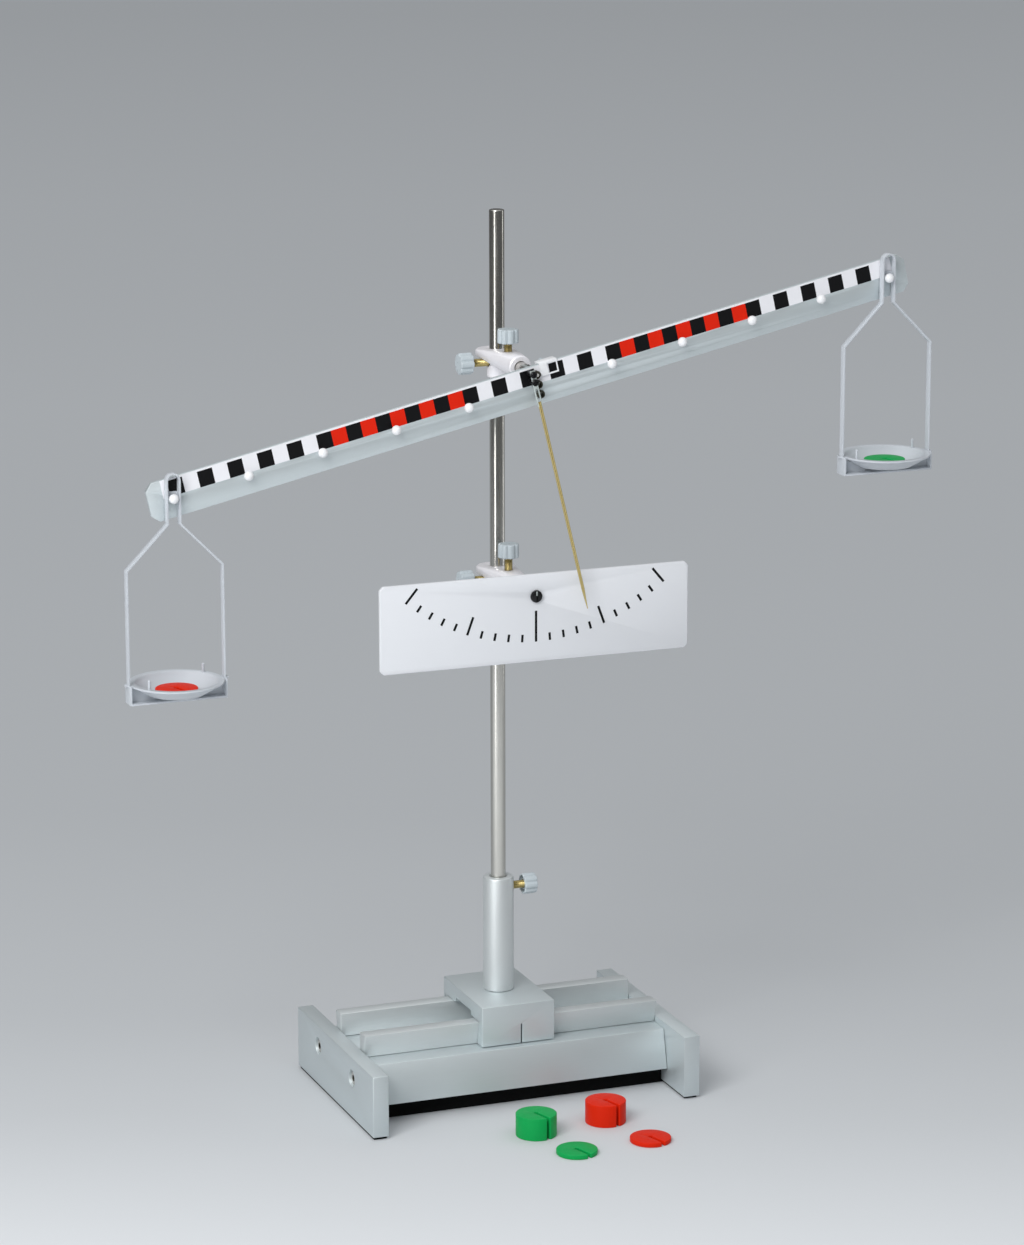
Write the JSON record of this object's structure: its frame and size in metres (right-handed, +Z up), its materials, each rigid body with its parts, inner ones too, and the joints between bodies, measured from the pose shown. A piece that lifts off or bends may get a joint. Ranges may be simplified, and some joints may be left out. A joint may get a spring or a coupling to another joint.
{
  "type": "demonstration beam balance",
  "caption": "Equal-arm classroom beam balance: tilting beam with hanging pans, pointer and dial, clamped to a rod on a sliding rail carriage, with loose slotted weights.",
  "frame": {"origin": "middle of the footprint on the floor, under the feet of the rail", "axes": "+Z up, +X along the rail and the beam towards the raised pan, -Y towards the person who reads the dial"},
  "size_m": [0.5548, 0.2374, 0.5943],
  "materials": {
    "anodised_aluminium": "satin, clear anodised",
    "bright_aluminium": "fine satin, machined",
    "stainless_steel": "drawn bar, fine lengthwise grain",
    "brass": "dull, slightly oiled",
    "die_cast": "silver-white cast skin",
    "grey_plastic": "satin moulded",
    "white_plastic": "smooth moulded",
    "dial_white": "smooth sheet",
    "black_steel": "blackened",
    "black_rubber": "matte",
    "red_coated_metal": "smooth red coating",
    "green_plastic": "satin moulded"
  },
  "bodies": {
    "base": {"left_end_plate": "anodised_aluminium", "right_end_plate": "anodised_aluminium", "rail_bed": "anodised_aluminium", "front_slide_bar": "bright_aluminium", "rear_slide_bar": "bright_aluminium", "left_front_plate_screw": "stainless_steel", "left_rear_plate_screw": "stainless_steel", "right_front_plate_screw": "stainless_steel", "right_rear_plate_screw": "stainless_steel", "underbody": "black_rubber"},
    "carriage": {"carriage_block": "anodised_aluminium", "carriage_set_screw": "black_steel", "column_sleeve": "bright_aluminium"},
    "sleeve_screw": {"sleeve_thumbscrew_knob": "grey_plastic", "sleeve_thumbscrew_stud": "brass"},
    "rod": {"support_rod": "stainless_steel"},
    "upper_holder": {"upper_clamp": "die_cast"},
    "upper_side_thumbscrew": {"upper_side_screw_knob": "grey_plastic", "upper_side_screw_stud": "brass"},
    "upper_top_thumbscrew": {"upper_top_screw_knob": "grey_plastic", "upper_top_screw_stud": "brass"},
    "axle": {"beam_axle": "stainless_steel"},
    "lower_holder": {"lower_clamp": "die_cast"},
    "lower_side_thumbscrew": {"lower_side_screw_knob": "grey_plastic", "lower_side_screw_stud": "brass"},
    "lower_top_thumbscrew": {"lower_top_screw_knob": "grey_plastic", "lower_top_screw_stud": "brass"},
    "spindle": {"dial_spindle": "stainless_steel"},
    "dial": {"dial_plate": "dial_white", "dial_screw": "black_steel"},
    "beam": {"beam_bar": "anodised_aluminium", "left_pin_1": "white_plastic", "left_pin_2": "white_plastic", "left_pin_3": "white_plastic", "left_pin_4": "white_plastic", "left_pin_5": "white_plastic", "right_pin_1": "white_plastic", "right_pin_2": "white_plastic", "right_pin_3": "white_plastic", "right_pin_4": "white_plastic", "right_pin_5": "white_plastic", "top_bearing_eyelet": "brass", "middle_bearing_eyelet": "brass", "bottom_bearing_eyelet": "brass", "pointer": "brass", "upper_pointer_screw": "black_steel", "lower_pointer_screw": "black_steel"},
    "tare": {"tare_clip": "white_plastic"},
    "tare_screw": {"tare_knob": "grey_plastic"},
    "left_pan": {"left_bail": "white_plastic", "left_bowl": "white_plastic"},
    "right_pan": {"right_bail": "white_plastic", "right_bowl": "white_plastic"},
    "left_pan_disc": {"left_pan_weight": "red_coated_metal"},
    "right_pan_disc": {"right_pan_weight": "green_plastic"},
    "thick_green": {"thick_green_weight": "green_plastic"},
    "thick_red": {"thick_red_weight": "red_coated_metal"},
    "thin_green": {"thin_green_weight": "green_plastic"},
    "thin_red": {"thin_red_weight": "red_coated_metal"}
  },
  "joints": [
    {"name": "carriage_travel", "type": "slide", "parent": "base", "child": "carriage", "axis": [1, 0, 0], "range_m": [-0.078, 0.075]},
    {"name": "sleeve_screw_turn", "type": "hinge", "parent": "carriage", "child": "sleeve_screw", "pos_m": [0.02057, 0.04075, 0.1382], "axis": [1, 0, 0], "range_deg": [0, 360]},
    {"name": "rod_height", "type": "slide", "parent": "carriage", "child": "rod", "axis": [0, 0, 1], "range_m": [0, 0.045]},
    {"name": "beam_holder_height", "type": "slide", "parent": "rod", "child": "upper_holder", "axis": [0, 0, 1], "range_m": [-0.075, 0.08]},
    {"name": "upper_side_screw_turn", "type": "hinge", "parent": "upper_holder", "child": "upper_side_thumbscrew", "pos_m": [-0.02343, 0.04075, 0.4947], "axis": [-1, 0, 0], "range_deg": [0, 360]},
    {"name": "upper_top_screw_turn", "type": "hinge", "parent": "upper_holder", "child": "upper_top_thumbscrew", "pos_m": [-0.00143, 0.02045, 0.514], "axis": [0, 0, 1], "range_deg": [0, 360]},
    {"name": "beam_axle_reach", "type": "slide", "parent": "upper_holder", "child": "axle", "axis": [0, -1, 0], "range_m": [0, 0.004]},
    {"name": "dial_holder_height", "type": "slide", "parent": "rod", "child": "lower_holder", "axis": [0, 0, 1], "range_m": [-0.15, 0.06]},
    {"name": "lower_side_screw_turn", "type": "hinge", "parent": "lower_holder", "child": "lower_side_thumbscrew", "pos_m": [-0.02343, 0.04075, 0.35], "axis": [-1, 0, 0], "range_deg": [0, 360]},
    {"name": "lower_top_screw_turn", "type": "hinge", "parent": "lower_holder", "child": "lower_top_thumbscrew", "pos_m": [-0.00143, 0.02045, 0.37], "axis": [0, 0, 1], "range_deg": [0, 360]},
    {"name": "dial_reach", "type": "slide", "parent": "lower_holder", "child": "spindle", "axis": [0, -1, 0], "range_m": [0, 0.004]},
    {"name": "dial_levelling", "type": "hinge", "parent": "spindle", "child": "dial", "pos_m": [-0.00143, -0.02765, 0.353], "axis": [0, 1, 0], "range_deg": [-10, 10]},
    {"name": "beam_swing", "type": "hinge", "parent": "axle", "child": "beam", "pos_m": [-0.00143, -0.02585, 0.4977], "axis": [0, 1, 0], "range_deg": [-27, 52]},
    {"name": "tare_travel", "type": "slide", "parent": "beam", "child": "tare", "axis": [0.9756, 0, 0.2195], "range_m": [0, 0.028]},
    {"name": "tare_screw_turn", "type": "hinge", "parent": "tare", "child": "tare_screw", "pos_m": [0.00733, -0.01625, 0.50162], "axis": [0, 1, 0], "range_deg": [0, 360]},
    {"name": "left_pan_swing", "type": "hinge", "parent": "beam", "child": "left_pan", "pos_m": [-0.2439, -0.03195, 0.43648], "axis": [0, -1, 0], "range_deg": [-27, 52]},
    {"name": "left_pan_disc_lift", "type": "slide", "parent": "left_pan", "child": "left_pan_disc", "axis": [0, 0, 1], "range_m": [0, 0.05]},
    {"name": "right_pan_swing", "type": "hinge", "parent": "beam", "child": "right_pan", "pos_m": [0.2439, -0.03195, 0.54624], "axis": [0, -1, 0], "range_deg": [-27, 52]},
    {"name": "right_pan_disc_lift", "type": "slide", "parent": "right_pan", "child": "right_pan_disc", "axis": [0, 0, 1], "range_m": [0, 0.05]},
    {"name": "thick_green_lift", "type": "slide", "parent": "base", "child": "thick_green", "axis": [0, 0, 1], "range_m": [0, 0.06]},
    {"name": "thick_red_lift", "type": "slide", "parent": "base", "child": "thick_red", "axis": [0, 0, 1], "range_m": [0, 0.06]},
    {"name": "thin_green_lift", "type": "slide", "parent": "base", "child": "thin_green", "axis": [0, 0, 1], "range_m": [0, 0.06]},
    {"name": "thin_red_lift", "type": "slide", "parent": "base", "child": "thin_red", "axis": [0, 0, 1], "range_m": [0, 0.06]}
  ]
}
